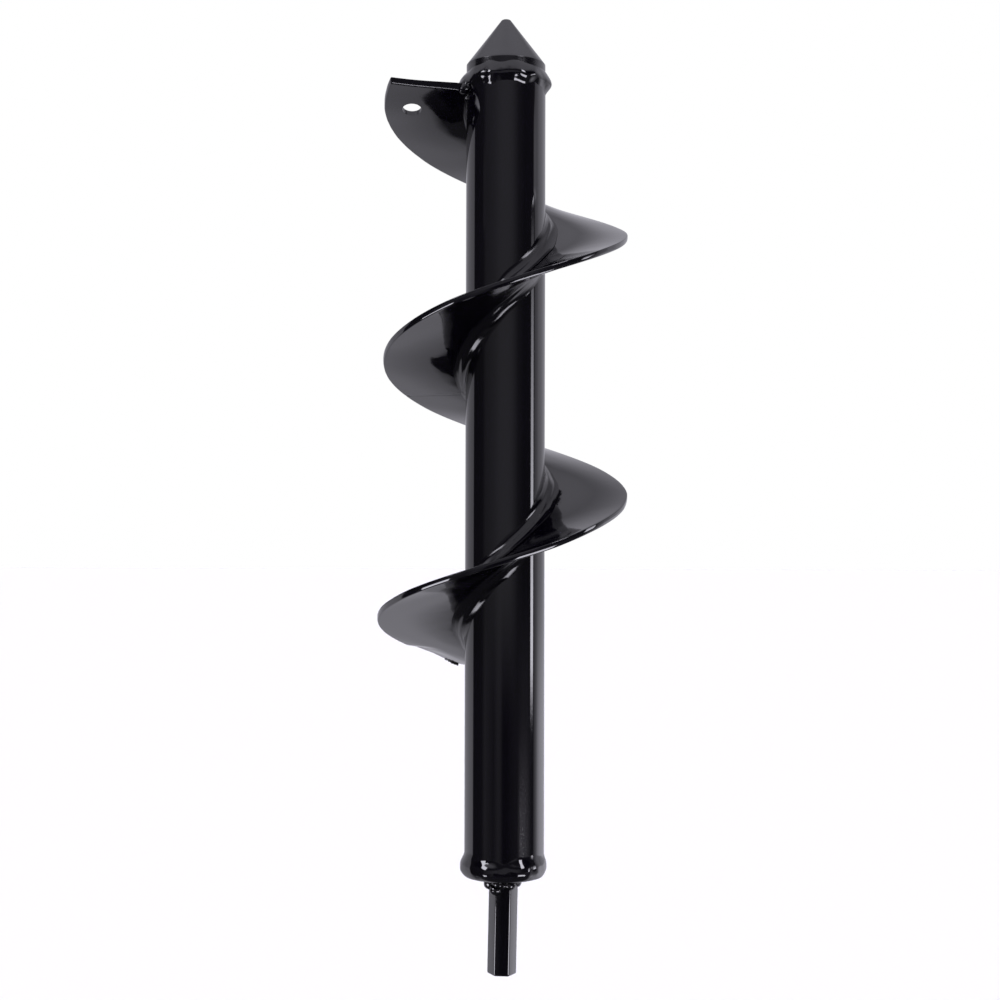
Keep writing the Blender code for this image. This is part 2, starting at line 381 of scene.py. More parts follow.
def tail_droop(radius, angle):
    """How far the outer side of the tail hangs down: it is bent up, but for its last corner."""
    raised = smooth_step(angle - TAIL_EDGE, *TAIL_BENT_UP)
    corner = smooth_step(angle - TAIL_EDGE, *TAIL_CORNER)
    return (0.75 * corner - 0.62 * raised) * MM * smooth_step(radius, 26 * MM, FLIGHT_RADIUS)


EDGE_ROUND = 0.22 * MM
PLATE_STEP = math.radians(1.1)
PLATE_STRIPS = 30
UPRIGHT_REACH = math.radians(9)  # the leading end is cut upright, not square to the plate
ROUND_STEPS = 5
# The sheared outer edge, from under its rounded top to its underside, as (inset in mm, height share)
SHEARED_EDGE = (
    (0.0, 0.3),
    (0.0, 0.0),
    (0.05, -0.3),
    (0.12, -0.6),
    (0.17, -0.78),
    (0.24, -0.9),
    (0.33, -0.97),
    (0.46, -1.0),
)


def plate_section():
    """Points round the plate's section: (share of the width, inset from the edge, height share).

    The outer edge is as the shears left it: upright above, and leaning in below.
    """
    half = FLIGHT_PLATE / 2
    shares = [index / PLATE_STRIPS for index in range(PLATE_STRIPS + 1)]
    edge = []
    for index in range(1, ROUND_STEPS + 1):
        turn = math.pi / 2 * index / ROUND_STEPS
        inset = EDGE_ROUND * (1 - math.sin(turn))
        edge.append((1.0, inset, (half - EDGE_ROUND * (1 - math.cos(turn))) / half))
    edge += [(1.0, inset * MM, height) for inset, height in SHEARED_EDGE]
    top = [(share, 0.0, 1.0) for share in shares]
    bottom = [(share, 0.0, -1.0) for share in reversed(shares[:-1])]
    return top + edge + bottom


def flight(name, start, end):
    """One ring of plate, from one angle down to another, with rounded edges and ends."""
    inner = TUBE_RADIUS - INTO_STEEL
    half = FLIGHT_PLATE / 2
    section = plate_section()

    def ring_at(along, end_sign=0, depth=EDGE_ROUND):
        """One section, moved in by depth from the start (end_sign 1) or the end (-1)."""
        shrink = EDGE_ROUND - math.sqrt(EDGE_ROUND**2 - (EDGE_ROUND - depth) ** 2)
        base = start + (end - start) * along
        outer = outer_radius(base) - EDGE_ROUND - shrink * 0.8
        ring = []
        for share, inset, height in section:
            radius = inner + (outer - inner) * share
            if share == 1.0 and height != 1.0:
                radius = outer + EDGE_ROUND - inset
            angle = base - end_sign * angle_along(depth, radius)
            upright = smooth_step(angle, start - UPRIGHT_REACH, start)
            angle += upright * height * half * angle_along(RISE, radius) / radius
            lift = plate_warp(radius, angle) - tail_droop(radius, angle) + height * (half - shrink)
            ring.append(on_helicoid(radius, angle) + lift * upward_normal(radius, angle))
        return ring

    turns = [math.pi / 2 * step / ROUND_STEPS for step in range(ROUND_STEPS)]
    depths = [EDGE_ROUND * (1 - math.cos(turn)) for turn in turns]
    count = math.ceil((start - end) / PLATE_STEP)
    rings = [ring_at(0.0, 1, depth) for depth in depths]
    rings += [ring_at(index / count) for index in range(1, count)]
    rings += [ring_at(1.0, -1, depth) for depth in reversed(depths)]
    return skinned(name, rings, False, PLATE_ENAMEL, sharp=50)


HOLE_RIM = 0.07 * MM
HOLE_STEPS = 64


def cut_hole(piece):
    """Drills the hanging hole square to the plate, with rims that the paint has rounded."""
    half = FLIGHT_PLATE / 2
    profile = [(HOLE_RADIUS + 3 * HOLE_RIM, half + 3 * HOLE_RIM)]
    for index in range(ROUND_STEPS + 1):
        turn = math.pi / 2 * index / ROUND_STEPS
        height = half - HOLE_RIM * (1 - math.cos(turn))
        profile.append((HOLE_RADIUS + HOLE_RIM * (1 - math.sin(turn)), height))
    profile += [(radius, -height) for radius, height in reversed(profile)]
    shape = bmesh.new()
    loops = []
    for index in range(HOLE_STEPS):
        direction = facing(math.tau * index / HOLE_STEPS)
        loops.append([shape.verts.new(direction * r + Vector((0, 0, z))) for r, z in profile])
    for index, loop in enumerate(loops):
        following = loops[(index + 1) % HOLE_STEPS]
        for spot in range(len(profile) - 1):
            shape.faces.new((loop[spot], loop[spot + 1], following[spot + 1], following[spot]))
    shape.faces.new([loop[0] for loop in loops])
    shape.faces.new([loop[-1] for loop in reversed(loops)])
    bmesh.ops.recalc_face_normals(shape, faces=shape.faces)
    mesh = bpy.data.meshes.new("hole_cutter")
    shape.to_mesh(mesh)
    shape.free()
    cutter = bpy.data.objects.new("hole_cutter", mesh)
    bpy.context.scene.collection.objects.link(cutter)
    lift = plate_warp(HOLE_FROM_AXIS, HOLE_ANGLE)
    axis = upward_normal(HOLE_FROM_AXIS, HOLE_ANGLE)
    cutter.location = on_helicoid(HOLE_FROM_AXIS, HOLE_ANGLE) + lift * axis
    cutter.rotation_euler = axis.to_track_quat("Z", "Y").to_euler()
    cut = piece.modifiers.new("hole", "BOOLEAN")
    cut.operation = "DIFFERENCE"
    cut.solver = "EXACT"
    cut.object = cutter
    bpy.context.view_layer.update()
    depsgraph = bpy.context.evaluated_depsgraph_get()
    drilled = bpy.data.meshes.new_from_object(piece.evaluated_get(depsgraph))
    piece.modifiers.clear()
    piece.data = drilled
    bpy.data.objects.remove(cutter, do_unlink=True)


# ---------------------------------------------------------------- weld beads


ROOT_LEG = 4.0 * MM
ROOT_STEP = math.radians(0.8)
ROOT_POINTS = 21
PASS_LAP = math.radians(8)  # how far a pass runs on under the next one, getting smaller
PASS_END_SHARE = 0.12
LEAD_THIN, LEAD_FULL, LEAD_SHARE = math.radians(120), math.radians(30), 0.3
TAIL_THINS, TAIL_SHARE = math.radians(26), 0.4
RIDGE_PROUD, RIDGE_WIDTH = 0.045, 0.22
FINE_RIDGES, FINE_PROUD = 18, 0.02 * MM


def pass_size(angle, start, end):
    """The size of a pass here, as a share: it thins out at both ends of the helix."""
    from_end = min(start - angle, angle - end)
    taper = PASS_END_SHARE + (1 - PASS_END_SHARE) * smooth_step(from_end, 0, PASS_LAP)
    lead = LEAD_SHARE + (1 - LEAD_SHARE) * smooth_step(angle, LEAD_THIN, LEAD_FULL)
    tail = TAIL_SHARE + (1 - TAIL_SHARE) * smooth_step(angle, TAIL_EDGE, TAIL_EDGE + TAIL_THINS)
    return taper * lead * tail


def root_bead(name, cad_node, side, start, end, seed):
    """One pass of the fillet in the corner of tube and plate, on the plate's upper or under side."""
    count = math.ceil((start - end) / ROOT_STEP)
    rings = []
    for index in range(count + 1):
        angle = start + (end - start) * index / count
        along = angle * math.hypot(TUBE_RADIUS, RISE)

        def uneven(row, size, more=0):
            return grain((along, row, 0), size * MM, seed + more)

        leg = ROOT_LEG * pass_size(angle, start, end) * (1 + 0.16 * uneven(0, 9) + 0.015 * uneven(0, 3.2, 4))
        on_tube = leg * (1 + 0.12 * uneven(3, 8, 1))
        on_plate = leg * (1 + 0.12 * uneven(6, 7, 2))
        full = 0.1 + 0.1 * uneven(9, 16, 3)
        ridge = math.radians(50 + 22 * uneven(12, 17, 5))
        shift = 5 * uneven(15, 12, 6)
        ring = []
        for spot in range(ROOT_POINTS):
            turn = math.pi / 2 * spot / (ROOT_POINTS - 1)
            proud = FINE_PROUD * math.sin(FINE_RIDGES * turn + shift)
            proud = (proud + RIDGE_PROUD * leg * bump_at(turn, ridge, RIDGE_WIDTH)) * math.sin(2 * turn)
            out = on_plate * (full * math.sin(turn) + (1 - full) * (1 - math.cos(turn))) + proud
            up = on_tube * (full * math.cos(turn) + (1 - full) * (1 - math.sin(turn))) + proud
            ring.append(corner_point(angle, side, out, up))
        buried = -2 * INTO_STEEL
        ring.append(corner_point(angle, side, on_plate * 0.7, buried))
        ring.append(corner_point(angle, side, buried, buried))
        ring.append(corner_point(angle, side, buried, on_tube * 0.7))
        rings.append(ring)
    bead = skinned(name, rings, False, ROOT_ENAMEL, sharp=60)
    stand_for(bead, "painted_bead", cad_node)


def corner_point(angle, side, out, up):
    """A point by its distance out from the tube's wall and up off the plate's face."""
    radius = TUBE_RADIUS + out
    face = on_helicoid(TUBE_RADIUS, angle) + side * FLIGHT_PLATE / 2 * upward_normal(radius, angle)
    raised = face + upward_normal(TUBE_RADIUS, angle) * side * up
    bearing = math.atan2(raised.y, raised.x)
    return Vector((radius * math.cos(bearing), radius * math.sin(bearing), raised.z))


def ring_wave(angle, humps):
    """The sum of humps given as (facing degrees, height in mm, width in degrees)."""
    total = 0.0
    for centre, height, width in humps:
        apart = (math.degrees(angle) - centre + 180) % 360 - 180
        total += height * bump_at(apart, 0, width)
    return total * MM


def soft_side(share):
    """A side that runs out smoothly, where the paint has filled its edge."""
    return math.cos(math.pi / 2 * share) ** 2


def crisp_side(share):
    """A side that is nearly straight and ends in a line."""
    return 1 - share**1.5


def full_side(share):
    """A side that stays full nearly to its edge."""
    return (1 - share**2.6) ** (1 / 2.6)


def ring_bead(name, cad_node, edges, crown, wall, steps, points, crest, lower, upper):
    """A bead right round the tool. Edges(angle) gives its (low, high) heights on the wall.

    Crown(angle) is how far it stands off wall(angle, height). Crest is its highest line's share of
    the way up, and lower and upper give the shapes of its sides.
    """
    rings = []
    for index in range(steps):
        angle = math.tau * index / steps
        low, high = edges(angle)
        proud = crown(angle)
        ring = []
        for spot in range(points):
            share = (1 + math.cos(math.pi * spot / (points - 1))) / 2
            height = low + (high - low) * share
            if share > crest:
                fullness = upper((share - crest) / (1 - crest))
            else:
                fullness = lower((crest - share) / crest)
            place = facing(angle) * (wall(angle, height) + proud * fullness) + Vector((0, 0, height))
            dent = 0.12 * MM * grain(place, 2.6 * MM, 21.0) * fullness
            ring.append(place + facing(angle) * dent)
        inner = wall(angle, low) - 2 * INTO_STEEL
        ring.append(facing(angle) * inner + Vector((0, 0, low + INTO_STEEL)))
        ring.append(facing(angle) * inner + Vector((0, 0, high - INTO_STEEL)))
        rings.append(ring)
    bead = skinned(name, rings, True, BEAD_ENAMEL, sharp=70)
    stand_for(bead, "painted_bead", cad_node)


def blob(name, centre, axes, rough, seed, *cad_nodes, material=ROOT_ENAMEL):
    """A lump of weld: a ball stretched along three axes and made uneven."""
    shape = bmesh.new()
    bmesh.ops.create_icosphere(shape, subdivisions=5, radius=1.0)
    for corner in shape.verts:
        unit = corner.co.copy()
        uneven = 1 + rough * grain(unit, 0.7, seed) + 0.4 * rough * grain(unit, 0.28, seed + 2)
        corner.co = centre + (axes[0] * unit.x + axes[1] * unit.y + axes[2] * unit.z) * uneven
    bmesh.ops.recalc_face_normals(shape, faces=shape.faces)
    mesh = bpy.data.meshes.new(name)
    shape.to_mesh(mesh)
    shape.free()
    stand_for(piece_from(name, mesh, material), "painted_bead", *cad_nodes)


# ---------------------------------------------------------------- the pieces


TUBE_WALL = 1.5 * MM
RUN_ANGLE, RUN_TOP, RUN_FOOT = math.radians(42.4), 277 * MM, 242.6 * MM
FAINT_RUN_ANGLE = math.radians(-34.5)


def paint_runs(angle, height):
    """How far the paint stands proud on the tube: a run that ends in a drop, and a fainter one."""
    across = bump_at((angle - RUN_ANGLE) * TUBE_RADIUS, 0, 0.9 * MM)
    strand = smooth_step(height, RUN_FOOT - 1.2 * MM, RUN_FOOT + 0.6 * MM)
    strand *= smooth_step(height, RUN_TOP, RUN_TOP - 20 * MM)
    drop = bump_at(height, RUN_FOOT, 1.3 * MM)
    faint = bump_at((angle - FAINT_RUN_ANGLE) * TUBE_RADIUS, 0, 0.6 * MM)
    faint *= smooth_step(height, 230 * MM, 234 * MM) * smooth_step(height, 262 * MM, 250 * MM)
    return ((0.12 * strand + 0.25 * drop) * across + 0.06 * faint) * MM


def make_tube():
    """The tube is open at both ends under the beads. Its wall carries the paint runs."""
    low, high = TUBE_LOW.z, TUBE_HIGH.z
    inner = TUBE_RADIUS - TUBE_WALL
    levels = 230
    profile = [(TUBE_RADIUS, high + (low - high) * index / levels) for index in range(levels + 1)]
    profile += [(inner, low), (inner, high)]

    def wobble(angle, radius, height):
        if radius > inner:
            turned = (angle + math.pi) % math.tau - math.pi
            place = facing(angle) * radius + Vector((0, 0, height))
            radius += paint_runs(turned, height) + 0.012 * MM * grain(place, 30 * MM, 2.0)
        return radius, height

    tube = lathed("tube", profile, 288, TUBE_ENAMEL, wobble, sharp=40)
    stand_for(tube, "black_paint", "core_tube")


CONE_SHOULDER = 285.6 * MM
NOSE_RADIUS, NOSE_ROUND, NOSE_TURN, NOSE_STEPS = 1.75 * MM, 0.9 * MM, math.radians(52.7), 8
FLANK_STEPS = 24
AXIS_GAP = 0.02 * MM


def make_cone():
    """The point: a blunt nose, a straight flank, and a short collar that goes into the bead."""
    top, foot = CONE_HIGH.z - 0.25 * MM, TUBE_HIGH.z - 1 * MM
    base_radius = TUBE_RADIUS - 0.05 * MM
    profile = [(AXIS_GAP, top)]
    for index in range(NOSE_STEPS + 1):
        turn = NOSE_TURN * index / NOSE_STEPS
        radius = NOSE_RADIUS - NOSE_ROUND * (1 - math.sin(turn))
        profile.append((radius, top - NOSE_ROUND * (1 - math.cos(turn))))
    flank_top = Vector(profile[-1])
    flank_foot = Vector((base_radius - 0.12 * MM, CONE_SHOULDER + 0.16 * MM))
    profile += [tuple(flank_top.lerp(flank_foot, index / FLANK_STEPS)) for index in range(1, FLANK_STEPS)]
    profile.append((base_radius - 0.03 * MM, CONE_SHOULDER + 0.04 * MM))
    profile += [(base_radius, CONE_SHOULDER - drop * MM) for drop in (0.03, 0.1, 0.2)]
    profile += [(base_radius, (CONE_SHOULDER + foot) / 2), (base_radius, foot), (AXIS_GAP, foot)]

    def wobble(angle, radius, height):
        place = facing(angle) * radius + Vector((0, 0, height))
        return radius * (1 + 0.004 * grain(place, 5 * MM, 6.0)), height

    cone = lathed("point", profile, 192, CONE_ENAMEL, wobble, sharp=50)
    stand_for(cone, "black_paint", "tip_cone")


# The humps of the ring beads, as (facing degrees, height in mm, width in degrees): CREST moves a
# bead's upper side, FOOT its lower side, and CROWN how far it stands proud
TIP_WELD_LOW, TIP_WELD_HIGH = 276.9 * MM, 283.6 * MM
TIP_CREST = ((-72, -0.6, 18), (-24, 0.7, 12), (14, 0.8, 13), (55, -0.3, 14), (150, 0.4, 24))
TIP_FOOT = ((-60, -1.0, 12), (-22, -0.9, 7), (3, 0.3, 10), (28, -0.4, 8), (45, 0.8, 8), (82, -1.7, 12))
TIP_CROWN = ((-88, 1.3, 18), (-22, 0.25, 8), (2, -0.3, 10), (24, 0.3, 8), (58, -0.2, 9), (83, 0.85, 13))


def make_tip_weld():
    """The bead between point and tube: wavy on both sides, with its stop as a lump on one side."""

    def edges(angle):
        rough = grain(facing(angle) * 9, 3.0, 4.0) * 0.25 * MM
        low = TIP_WELD_LOW + ring_wave(angle, TIP_FOOT) + rough
        return low, TIP_WELD_HIGH + ring_wave(angle, TIP_CREST) - rough

    def crown(angle):
        return 1.15 * MM + ring_wave(angle, TIP_CROWN) + 0.2 * MM * grain(facing(angle) * 9, 2.5, 9.0)

    def wall(angle, height):
        return TUBE_RADIUS - 0.1 * MM

    ring_bead("tip_bead", "tip_weld", edges, crown, wall, 300, 30, 0.5, soft_side, crisp_side)


def make_flights():
    upper = flight("leading_plate", LEADING_EDGE, FLIGHT_JOINT)
    cut_hole(upper)
    stand_for(upper, "black_paint", "upper_flight")
    lower = flight("trailing_plate", FLIGHT_JOINT, TAIL_EDGE)
    stand_for(lower, "black_paint", "lower_flight")


def make_joint_bead():
    """The butt weld across the two plates, ground nearly flush, with a nick at the outer edge."""
    first, last = TUBE_RADIUS, FLIGHT_RADIUS - 0.9 * MM
    lengths, around = 60, 20
    rings = []
    for index in range(lengths + 1):
        radius = first + (last - first) * index / lengths
        close = smooth_step(last - radius, -0.3 * MM, 1.6 * MM)
        wide = 2.2 * MM * (1 + 0.3 * grain((radius, 0, 0), 3 * MM, 2.0)) * (0.3 + 0.7 * close)
        tall = FLIGHT_PLATE / 2 + 0.02 * MM * (1 + grain((radius, 4, 0), 2.5 * MM, 5.0))
        ring = []
        for spot in range(around):
            turn = math.tau * spot / around
            angle = FLIGHT_JOINT + angle_along(wide * math.sin(turn), radius)
            lift = tall * math.cos(turn) * (0.5 + 0.5 * close) + plate_warp(radius, angle)
            ring.append(on_helicoid(radius, angle) + lift * upward_normal(radius, angle))
        rings.append(ring)
    bead = skinned("joint_bead", rings, False, BEAD_ENAMEL)
    stand_for(bead, "painted_bead", "flight_joint_weld")


def make_root_beads():
    """Two passes along each side of each plate. Where two meet, each runs on under the other."""
    joint_start, joint_end = FLIGHT_JOINT + PASS_LAP, FLIGHT_JOINT - PASS_LAP
    tail = TAIL_EDGE - math.radians(0.5)
    runs = (
        ("upper_top", 1, math.radians(196), joint_end, 31.0),
        ("upper_under", -1, math.radians(199), joint_end, 37.0),
        ("lower_top", 1, joint_start, tail, 43.0),
        ("lower_under", -1, joint_start, tail, 47.0),
    )
    for name, side, start, end, seed in runs:
        middle = (start + end) / 2
        root_bead(name + "_bead_1", name + "_weld_1", side, start, middle - PASS_LAP, seed)
        root_bead(name + "_bead_2", name + "_weld_2", side, middle + PASS_LAP, end, seed)


def make_edge_lumps():
    """The lumps that close the two ends of the helix against the tube."""
    up = Vector((0, 0, 1))
    out = Vector((math.cos(LEADING_EDGE), math.sin(LEADING_EDGE), 0))
    across = Vector((-out.y, out.x, 0))
    lead = on_helicoid(14.2 * MM, LEADING_EDGE) - out * 0.9 * MM
    axes = (out * 2.6 * MM + up * -1.0 * MM, across * 1.7 * MM, up * 2.0 * MM)
    blob("cutting_edge_lump", lead, axes, 0.04, 12.0, "cutting_edge_weld")
    shoulder = facing(math.radians(-78)) * 13.2 * MM + up * 279.0 * MM
    axes = (out * 2.6 * MM + up * -1.5 * MM, across * 4.2 * MM, up * 2.2 * MM)
    blob("tip_bead_shoulder", shoulder, axes, 0.08, 18.0)
    tail = on_helicoid(14.2 * MM, TAIL_EDGE - math.radians(4))
    out = Vector((math.cos(TAIL_EDGE), math.sin(TAIL_EDGE), 0))
    across = Vector((-out.y, out.x, 0))
    axes = (out * 3.2 * MM, across * 2.0 * MM, up * 2.3 * MM)
    blob("tail_lump", tail, axes, 0.25, 15.0, "tail_weld")


def make_tail_burr():
    """The torn lip that the shears left hanging under the tail's outer corner."""
    start, end = TAIL_EDGE + math.radians(7.5), TAIL_EDGE + math.radians(0.3)
    lengths = 60
    thick = 0.45 * MM
    rings = []
    for index in range(lengths + 1):
        share = index / lengths
        angle = start + (end - start) * share
        outer = outer_radius(angle) - 0.5 * MM
        inner = outer - thick
        top = on_helicoid(outer, angle).z - tail_droop(outer, angle) - 0.3 * FLIGHT_PLATE
        torn = grain((share * 5, 0, 0), 0.9, 51.0) * 0.7 + grain((share * 5, 3, 0), 0.3, 55.0) * 0.35
        depth = (0.7 + 0.4 * smooth_step(share, 0, 0.6) + 0.5 * torn) * MM
        section = (
            (outer, 0),
            (outer, depth),
            (inner + thick / 2, depth + 0.1 * MM),
            (inner, depth),
            (inner, 0),
            (inner + thick / 2, 0),
        )
        along = Vector((math.cos(angle), math.sin(angle), 0))
        rings.append([along * radius + Vector((0, 0, top - drop)) for radius, drop in section])
    burr = skinned("tail_burr", rings, False, PLATE_ENAMEL, sharp=40)
    stand_for(burr, "black_paint")


END_WELD_LOW, END_WELD_HIGH = 30.75 * MM, 39.3 * MM
END_CREST = ((-54, 0.5, 14), (-22, -0.7, 9), (0, -0.9, 12), (22, 0.2, 9), (47, 0.5, 12), (150, 0.6, 25))
END_CROWN = ((-85, 0.35, 26), (-24, 0.5, 11), (2, -0.35, 10), (26, 0.5, 12), (80, -0.2, 24), (180, 0.2, 40))


def make_end_weld():
    """The fat bead that closes the tube round the plug: a full round shoulder with a soft toe."""

    def edges(angle):
        rough = grain(facing(angle) * 9, 3.5, 14.0) * 0.3 * MM
        return END_WELD_LOW + 0.3 * rough, END_WELD_HIGH + ring_wave(angle, END_CREST) + rough

    def crown(angle):
        return 1.15 * MM + ring_wave(angle, END_CROWN) + 0.12 * MM * grain(facing(angle) * 9, 2.6, 19.0)

    def wall(angle, height):
        toe = smooth_step(height, 35 * MM, 39 * MM)
        foot = smooth_step(height, 33.4 * MM, 30.6 * MM)
        return TUBE_RADIUS - 0.12 * MM - 0.35 * MM * toe * (1 - toe) - 0.6 * MM * foot

    ring_bead("end_bead", "tube_end_weld", edges, crown, wall, 300, 34, 0.36, full_side, soft_side)


SHANK_LEAN = math.radians(1.05)
SHANK_LEAN_HEIGHT = 37 * MM
SHANK_TURN = math.radians(29)
HEX_FLATS = 8.0 * MM
HEX_EDGE_ROUND = 0.35 * MM
HEX_FOOT_CHAMFER = 0.7 * MM


def make_shank():
    """The hexagon bar, softened along its edges, and leaning a degree as it was welded."""
    length = SHANK_HIGH.z - SHANK_LOW.z
    corner = HEX_FLATS / 2 / math.cos(math.radians(30))
    turn = Matrix.Rotation(SHANK_TURN, 4, "Z")
    size = {"segments": 6, "radius1": corner, "radius2": corner, "depth": length}
    shape = bmesh.new()
    bmesh.ops.create_cone(shape, cap_ends=True, matrix=turn, **size)
    bmesh.ops.translate(shape, verts=shape.verts, vec=(0, 0, SHANK_LOW.z + length / 2))
    upright = [edge for edge in shape.edges if abs(edge.verts[0].co.z - edge.verts[1].co.z) > length / 2]
    bmesh.ops.bevel(shape, geom=upright, offset=HEX_EDGE_ROUND, segments=5, profile=0.5, affect="EDGES")
    low = SHANK_LOW.z + 0.1 * MM
    foot = [edge for edge in shape.edges if all(vert.co.z < low for vert in edge.verts)]
    bmesh.ops.bevel(shape, geom=foot, offset=HEX_FOOT_CHAMFER, segments=4, profile=0.5, affect="EDGES")
    to_pivot = Matrix.Translation((0, 0, SHANK_LEAN_HEIGHT))
    lean = to_pivot @ Matrix.Rotation(SHANK_LEAN, 4, "Y") @ to_pivot.inverted()
    bmesh.ops.transform(shape, verts=shape.verts, matrix=lean)
    mesh = bpy.data.meshes.new("shank")
    shape.to_mesh(mesh)
    shape.free()
    shank = piece_from("shank", mesh, SHANK_ENAMEL, sharp=25)
    stand_for(shank, "black_paint", "hex_shank")


SHANK_WELD_LOW, SHANK_WELD_HIGH = 28.0 * MM, 31.9 * MM
SHANK_FOOT = (
    (-62, -1.6, 26),
    (-27, -2.2, 15),
    (8, 0.2, 12),
    (40, -0.4, 20),
    (150, -1.2, 40),
    (-130, -0.8, 20),
)
SHANK_CROWN = ((-75, 0.5, 24), (-30, 0.25, 16), (0, -0.45, 14), (50, 0.15, 20), (170, 0.3, 40))
# Lumps of the bead as (facing degrees, distance from the axis, height, size in mm)
SHANK_LUMPS = (
    (-76, 4.7, 28.4, 1.75),
    (-40, 4.4, 26.8, 1.6),
    (-6, 4.0, 28.4, 1.2),
    (30, 4.1, 28.4, 1.5),
    (68, 4.4, 28.9, 1.3),
    (112, 4.4, 28.2, 1.4),
    (160, 4.4, 27.4, 1.3),
    (-150, 4.4, 28.0, 1.5),
    (-112, 4.4, 27.2, 1.3),
)


def make_shank_weld():
    """The bead round the shank, heavier on the side that it started from."""

    def edges(angle):
        rough = grain(facing(angle) * 4, 1.8, 24.0) * 0.5 * MM
        return SHANK_WELD_LOW + ring_wave(angle, SHANK_FOOT) + rough, SHANK_WELD_HIGH

    def crown(angle):
        return 1.25 * MM + ring_wave(angle, SHANK_CROWN) + 0.3 * MM * grain(facing(angle) * 4, 1.5, 29.0)

    def wall(angle, height):
        return 4.15 * MM + 0.7 * MM * smooth_step(height, 29.5 * MM, SHANK_WELD_HIGH)

    ring_bead("shank_bead", "shank_weld", edges, crown, wall, 180, 24, 0.5, soft_side, full_side)
    for number, (degrees, radius, height, size) in enumerate(SHANK_LUMPS):
        out = facing(math.radians(degrees))
        across = Vector((-out.y, out.x, 0))
        axes = (out * size * MM, across * 1.25 * size * MM, Vector((0, 0, 1.1 * size * MM)))
        centre = out * radius * MM + Vector((0, 0, height * MM))
        blob("shank_lump_%d" % number, centre, axes, 0.06, 60.0 + number, material=BEAD_ENAMEL)


PLUG_THICKNESS, PLUG_DISH = 4 * MM, 0.25 * MM
PLUG_STEPS = 12


def make_plug():
    """The disc in the tube's end. Its painted outer face is dished a little by the welding."""
    outer, inner = TUBE_RADIUS - 0.5 * MM, 3.6 * MM
    low, high = TUBE_LOW.z, TUBE_LOW.z + PLUG_THICKNESS
    profile = [(inner, high), (outer, high)]
    for index in range(PLUG_STEPS, -1, -1):
        share = index / PLUG_STEPS
        dish = PLUG_DISH * math.sin(math.pi * share)
        profile.append((inner + (outer - inner) * share, low + dish))
    plug = lathed("plug", profile, 96, SHANK_ENAMEL, sharp=40)
    stand_for(plug, "bare_steel", "end_plug")


# ---------------------------------------------------------------- studio


def make_camera():
    data = bpy.data.cameras.new("camera")
    data.lens = CAMERA_LENS
    camera = bpy.data.objects.new("camera", data)
    bpy.context.scene.collection.objects.link(camera)
    forward = Vector((
        -math.sin(CAMERA_TO_LEFT) * math.cos(CAMERA_UP),
        math.cos(CAMERA_TO_LEFT) * math.cos(CAMERA_UP),
        math.sin(CAMERA_UP),
    ))
    aim = forward.to_track_quat("-Z", "Y").to_matrix().to_4x4()
    camera.matrix_world = Matrix.Translation(CAMERA_PLACE) @ aim @ Matrix.Rotation(CAMERA_ROLL, 4, "Z")
    bpy.context.scene.camera = camera


def make_floor():
    """A white floor well below the tool. The tool's reflections leave it out."""
    mesh = bpy.data.meshes.new("floor")
    shape = bmesh.new()
    bmesh.ops.create_grid(shape, x_segments=1, y_segments=1, size=FLOOR_SIZE)
    shape.to_mesh(mesh)
    shape.free()
    material = bpy.data.materials.new("floor_white")
    material.use_nodes = True
    shader = material.node_tree.nodes["Principled BSDF"]
    shader.inputs["Base Color"].default_value = (0.92, 0.92, 0.92, 1)
    shader.inputs["Roughness"].default_value = 0.9
    shader.inputs["Specular IOR Level"].default_value = 0.0
    mesh.materials.append(material)
    floor = bpy.data.objects.new("floor", mesh)
    floor.location.z = CAD_BOX[0].z - FLOOR_DROP
    floor.visible_glossy = False
    bpy.context.scene.collection.objects.link(floor)


# Brightness round the horizon, as (facing degrees, just above it, just below it): a white cove that
# is open towards the dark camera side
HORIZON = (
    (-180, 0.6, 0.6),
    (-150, 0.6, 0.6),
    (-122, 0.75, 0.95),
    (-103.5, 0.85, 1.1),
    (-101.5, 0.05, 0.05),
    (-68, 0.08, 0.08),
    (-58, 0.2, 0.24),
    (-45, 0.24, 0.18),
    (-31, 0.29, 0.11),
    (-18, 0.37, 0.25),
    (-12, 0.39, 0.22),
    (-4, 0.4, 0.05),
    (8, 0.4, 0.05),
    (18, 0.36, 0.08),
    (28, 0.25, 0.11),
    (38, 0.13, 0.12),
    (55, 0.07, 0.2),
    (69, 0.07, 0.19),
    (80, 0.08, 0.12),
    (92.5, 0.1, 0.1),
    (94, 0.6, 0.45),
    (99, 0.72, 0.65),
    (105, 0.8, 1.05),
    (113, 1.05, 1.8),
    (124, 0.95, 1.9),
    (140, 0.85, 1.3),
    (165, 0.6, 0.6),
)
HORIZON_PEAK = 2.0
# These spans are (where a change begins, where it is full), as elevations or as shares of a direction
BELOW_HORIZON = (math.radians(-1), math.radians(-7))
FRONT_DIMS, FRONT_DIM = (math.radians(15), math.radians(23)), 0.75
COVE_ENDS = (math.radians(30), math.radians(46))
FLOOR_STARTS, FLOOR_LEVELS = (0.2, 0.38), (0.12, 0.9)
TOP_STARTS, TOP_LEVELS, TOP_TO_FRONT = (0.35, 0.95), (0.46, 1.22), 0.6
STUDIO_TINT = (1.02, 1.0, 1.11, 1)
WHITE = (1, 1, 1, 1)
LAMP_SIDE_FADE = (1.2, 1.2)
# Soft lamps in degrees: (from, to) facing, (from, to) elevation, (low, high) fade, and brightness
LAMPS = (
    ((-68, -50), (20, 40), (2, 4), 13.0),
    ((38, 56), (20, 40), (2, 4), 13.0),
    ((-72, -42), (-35, -17), (2, 2), 12.0),
    ((20, 60), (-35, -17), (2, 2), 12.0),
    ((79.5, 90.5), (-6.5, 11), (2, 14), 10.0),
)


